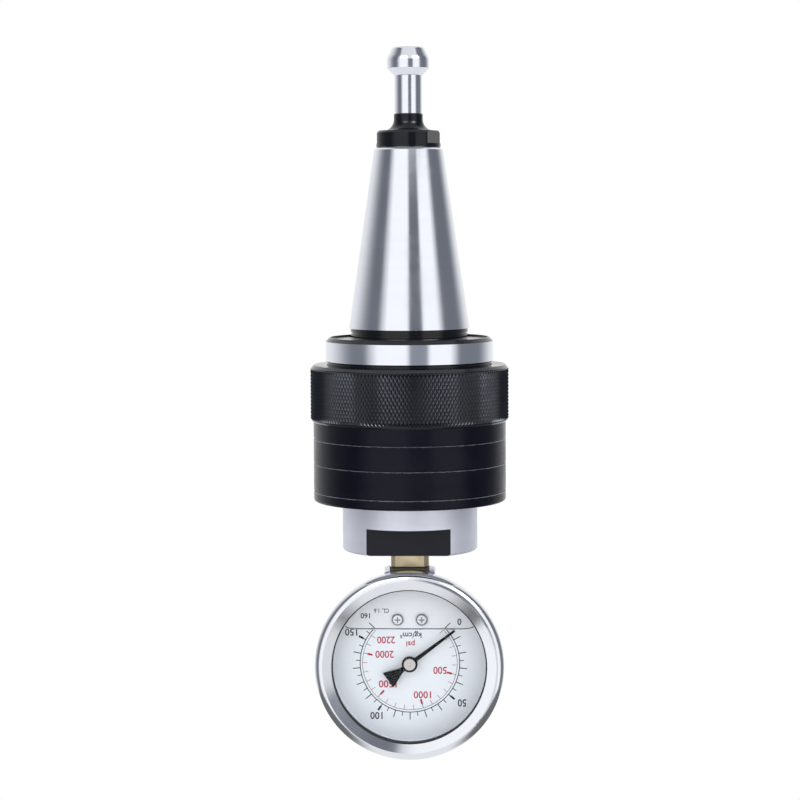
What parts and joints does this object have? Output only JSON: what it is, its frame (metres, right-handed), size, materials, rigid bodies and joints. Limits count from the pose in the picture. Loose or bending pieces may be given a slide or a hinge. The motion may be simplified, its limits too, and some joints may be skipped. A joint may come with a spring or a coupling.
{
  "type": "spindle tension meter",
  "caption": "Spindle drawbar force gauge: steep taper shank with pull stud, knurled setting ring, black hydraulic body and a round liquid-filled dial gauge on a brass stem.",
  "frame": {"origin": "centre of the taper's gauge line, on the spindle axis", "axes": "+Z along the spindle axis towards the pull stud, -Y the front that the dial faces, +X to the right of that front"},
  "size_m": [0.0742, 0.0742, 0.264],
  "materials": {
    "ground_steel": "ground, with the neck and the skirt blackened",
    "polished_steel": "polished head and neck over a blackened foot",
    "rod_steel": "ground",
    "black_oxide": "black oxide, satin",
    "satin_black": "smooth satin black",
    "base_steel": "satin ground, with blackened spanner flats",
    "spring_steel": "dark oiled",
    "pin_steel": "ground",
    "bronze": "machined",
    "seal_rubber": "matt",
    "backup_plastic": "matt",
    "gland_steel": "black oxide",
    "bleed_steel": "dark",
    "copper_washer": "plain",
    "stem_brass": "pale machined brass",
    "case_steel": "polished stainless",
    "bezel_steel": "polished stainless",
    "window_glass": "clear",
    "dial_white": "white",
    "screw_steel": "plain",
    "pointer_black": "matt black",
    "hub_alloy": "turned",
    "movement_brass": "plain",
    "movement_steel": "plain",
    "spring_bronze": "plain",
    "tube_bronze": "plain"
  },
  "bodies": {
    "shank": {"taper_shank": "ground_steel"},
    "ring": {"knurled_ring": "black_oxide"},
    "cylinder": {"cylinder_body": "satin_black", "guide_pin": "pin_steel", "rod_bush": "bronze", "rod_seal": "seal_rubber", "gland_nut": "gland_steel", "wiper_ring": "seal_rubber", "ring_retainer": "spring_steel"},
    "piston": {"piston_base": "base_steel", "piston_seal": "seal_rubber", "backup_ring": "backup_plastic", "bleed_screw": "bleed_steel", "bleed_washer": "copper_washer", "pull_rod": "rod_steel", "pull_stud": "polished_steel", "port_washer": "copper_washer", "gauge_stem": "stem_brass", "stem_gasket": "seal_rubber", "gauge_case": "case_steel", "vent_plug": "seal_rubber", "window_gasket": "seal_rubber", "window": "window_glass", "bezel": "bezel_steel", "dial": "dial_white", "dial_screws": "screw_steel", "back_plate": "movement_brass", "front_plate": "movement_brass", "frame_pillars": "movement_brass", "plate_screws": "movement_steel", "hairspring": "spring_bronze", "bourdon_tube": "tube_bronze", "tube_tip": "movement_brass"},
    "pointer": {"pointer": "pointer_black", "pointer_hub": "hub_alloy", "pinion": "movement_steel"},
    "sector": {"sector_gear": "movement_brass"},
    "link": {"link": "movement_brass", "link_pin": "movement_steel"}
  },
  "joints": [
    {"name": "body_slide", "type": "slide", "parent": "shank", "child": "cylinder", "axis": [0, 0, 1], "range_m": [0, 0.001]},
    {"name": "ring_turn", "type": "hinge", "parent": "cylinder", "child": "ring", "pos_m": [0, 0, -0.025], "axis": [0, 0, 1], "range_deg": [0, 180]},
    {"name": "piston_slide", "type": "slide", "parent": "cylinder", "child": "piston", "axis": [0, 0, 1], "range_m": [0, 0.0008]},
    {"name": "pointer_turn", "type": "hinge", "parent": "piston", "child": "pointer", "pos_m": [0, -0.008, -0.12645], "axis": [0, 1, 0], "range_deg": [0, 262]},
    {"name": "sector_swing", "type": "hinge", "parent": "piston", "child": "sector", "pos_m": [0.0015, -0.004, -0.13896], "axis": [0, 1, 0], "range_deg": [-32.75, 0]},
    {"name": "link_swing", "type": "hinge", "parent": "sector", "child": "link", "pos_m": [-0.00474, -0.0046, -0.13713], "axis": [0, 1, 0], "range_deg": [0, 32.75]}
  ],
  "couplings": [
    {"joint": "body_slide", "follows": "ring_turn", "m_per_rad": 0.0003183},
    {"joint": "pointer_turn", "follows": "piston_slide", "rad_per_m": 5715.9},
    {"joint": "sector_swing", "follows": "piston_slide", "rad_per_m": -714.49},
    {"joint": "link_swing", "follows": "piston_slide", "rad_per_m": 714.49}
  ]
}
